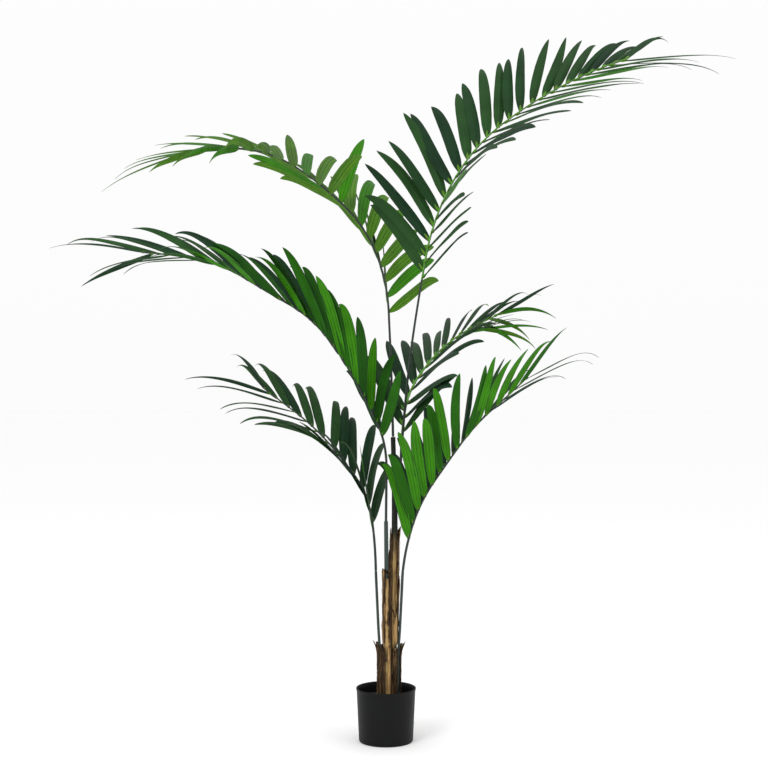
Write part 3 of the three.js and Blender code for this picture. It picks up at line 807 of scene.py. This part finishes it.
UPPER = [
    cloth("upper_dark_green", (0.011, 0.043, 0.012), 0.2, 0.46, 0.09),
    cloth("upper_blue_green", (0.008, 0.032, 0.012), 0.2, 0.46, 0.09),
    cloth("upper_mid_green", (0.016, 0.056, 0.013), 0.2, 0.46, 0.09),
    cloth("upper_light_green", (0.036, 0.135, 0.012), 0.2, 0.46, 0.09),
]
LOWER = {
    "yellow": cloth("lower_yellow_green", (0.08, 0.215, 0.011), 0.16, 0.45, 0.08),
    "fresh": cloth("lower_fresh_green", (0.038, 0.2, 0.004), 0.16, 0.45, 0.08),
    "deep": cloth("lower_deep_green", (0.015, 0.1, 0.003), 0.2, 0.45, 0.08),
    "forest": cloth("lower_forest_green", (0.009, 0.064, 0.003), 0.2, 0.45, 0.08),
}
vein = cloth("vein_print", (0.014, 0.085, 0.003), 0.2, 0.5, 0.08)
knuckle = Finish("bright_leaf_root", Roughness=0.5, Specular_IOR_Level=0.2)
browning = knuckle.grain(knuckle.place(), 260, 2).held(0.45, 0.6)
knuckle["Base Color"] = knuckle.blend(browning, (0.045, 0.22, 0.008), (0.13, 0.16, 0.015))

LIGHT_FROND = "upper_left"  # the one frond whose upper sides are printed a lighter green
CELL_TALL = 4.2  # a leaflet's cell of the flat map is so many times as tall as it is wide
light_dye, vein_print = len(UPPER) - 1, len(UPPER) + len(LOWER)
top_strips, low_strips = len(TOP_SPOTS) - 1, len(LOW_SPOTS) - 1
for name, frond in FRONDS.items():
    line = midrib(frond)
    roll = dealt(frond["seed"])
    free = np.random.default_rng(frond["seed"] + 500)
    leaves = Piece("leaflets_" + name, *UPPER, *LOWER.values(), vein)
    roots = Piece("leaf_roots_" + name, knuckle)
    stout = STOUT if name in BRIGHT_RIBS else SLIGHT
    count = frond["pairs"] * 2
    across = round(math.sqrt(count * CELL_TALL))
    down = math.ceil(count / across)
    placed = 0
    for i in range(frond["pairs"]):
        for row, offset in OFFSETS.items():
            q = (i + offset) / frond["pairs"]
            t = frond["bare"] + (1 - frond["bare"]) * q
            half_blade = frond[row]
            sweep = along(half_blade["sweep"], q) + SPREAD * (next(roll) * 2 - 1)
            ring = along(half_blade["ring"], q) + SPREAD * (next(roll) * 2 - 1)
            length = along(frond["reach"], q) * (0.9 + 0.18 * next(roll))
            droop = frond["droop"] * (0.6 + 0.8 * next(roll))
            curl = frond["curl"] * next(roll)
            turned_by = along(half_blade["turn"], q) + frond["spin"] * (next(roll) * 2 - 1)
            breadth = along(frond["breadth"], q)
            wild = (
                free.normal(0, 10), free.uniform(0.18, 0.42), free.normal(0, 0.05),
                free.uniform(0.02, 0.09), free.uniform(0, 6.3),
            )
            place = place_at(line, t)
            rows = leaflet(
                place, q, half_blade["side"], sweep, ring, turned_by, length, breadth, droop, curl, wild
            )
            high = light_dye if name == LIGHT_FROND else free.integers(0, light_dye)
            low = len(UPPER) + list(LOWER).index(frond["under"][free.integers(0, len(frond["under"]))])
            # The upper print runs round both cut edges, onto the outermost strips of the underside.
            kinds = [high] * (top_strips + 2) + [low] * (low_strips - 2) + [high] * 2
            for strip in VEINS:
                kinds[top_strips + 1 + strip] = vein_print
            column, level = placed % across, placed // across
            cell = (column / across, level / down, (column + 0.96) / across, (level + 0.98) / down)
            leaves.skin(rows, kinds, cell)
            outward = unit(rows[3].mean(0) - place[0])
            knob = place[0] + outward * np.linspace(1, KNUCKLE_LENGTH * stout, len(KNUCKLE))[:, None]
            roots.skin(round_rows(knob, KNUCKLE * stout, KNUCKLE_SIDES), cell=cell)
            placed += 1
    blades = leaves.made(50)
    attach(blades, "root")
    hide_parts(f"frond_{name}_low", f"frond_{name}_high")
    joints = roots.made(60)
    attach(joints, "root")

# Picture
# The palm stands on a plain pale floor in soft studio light from above and both sides. The camera
# is level with the middle of the plant, 3.4 m away, as in the photograph.
FLOOR_RADIUS, FLOOR_SIDES = 40, 96
FOCAL_LENGTH, SENSOR_WIDTH = 63.4, 36
CAMERA_AT = (-0.0051, -3.435, 0.9054)
SKY_BELOW, SKY_ABOVE = 0.97, 1.03
LIGHTS = (  # name, place, power and size
    ("key_light", (-2.2, -3.2, 3.4), 70, 1.6),
    ("side_light", (3.0, -2.0, 2.2), 20, 2.0),
)
floor_mesh = bpy.data.meshes.new("studio_floor")
turns = np.arange(FLOOR_SIDES) / FLOOR_SIDES * 2 * np.pi
edge = [(FLOOR_RADIUS * math.cos(a), FLOOR_RADIUS * math.sin(a), 0) for a in turns]
floor_mesh.from_pydata(edge, [], [list(range(FLOOR_SIDES))])
pale = Finish("pale_floor", Roughness=0.9, Specular_IOR_Level=0.1)
pale["Base Color"] = pale.blend(pale.grain(pale.place(), 3, 2), (0.955, 0.955, 0.955), (0.965, 0.965, 0.965))
floor_mesh.materials.append(pale.material)
floor = bpy.data.objects.new("studio_floor", floor_mesh)
bpy.context.collection.objects.link(floor)

scene = bpy.context.scene
scene.view_settings.view_transform = "Standard"
world = scene.world or bpy.data.worlds.new("studio")
scene.world = world
world.use_nodes = True
sky = world.node_tree.nodes
spot = sky.new("ShaderNodeTexCoord")
height = sky.new("ShaderNodeSeparateXYZ")
shade = sky.new("ShaderNodeMapRange")
shade.inputs["To Min"].default_value, shade.inputs["To Max"].default_value = SKY_BELOW, SKY_ABOVE
world.node_tree.links.new(spot.outputs["Generated"], height.inputs[0])
world.node_tree.links.new(height.outputs["Z"], shade.inputs["Value"])
world.node_tree.links.new(shade.outputs[0], sky["Background"].inputs["Strength"])
sky["Background"].inputs["Color"].default_value = (1, 1, 1, 1)

for title, place, power, size in LIGHTS:
    lamp = bpy.data.lights.new(title, "AREA")
    lamp.energy, lamp.size = power, size
    light = bpy.data.objects.new(title, lamp)
    light.location = place
    light.rotation_euler = (Vector((0, 0, 1)) - Vector(place)).to_track_quat("-Z", "Y").to_euler()
    bpy.context.collection.objects.link(light)

lens = bpy.data.cameras.new("camera")
lens.lens, lens.sensor_width = FOCAL_LENGTH, SENSOR_WIDTH
camera = bpy.data.objects.new("camera", lens)
camera.location = CAMERA_AT
camera.rotation_euler = (math.pi / 2, 0, 0)
bpy.context.collection.objects.link(camera)
scene.camera = camera
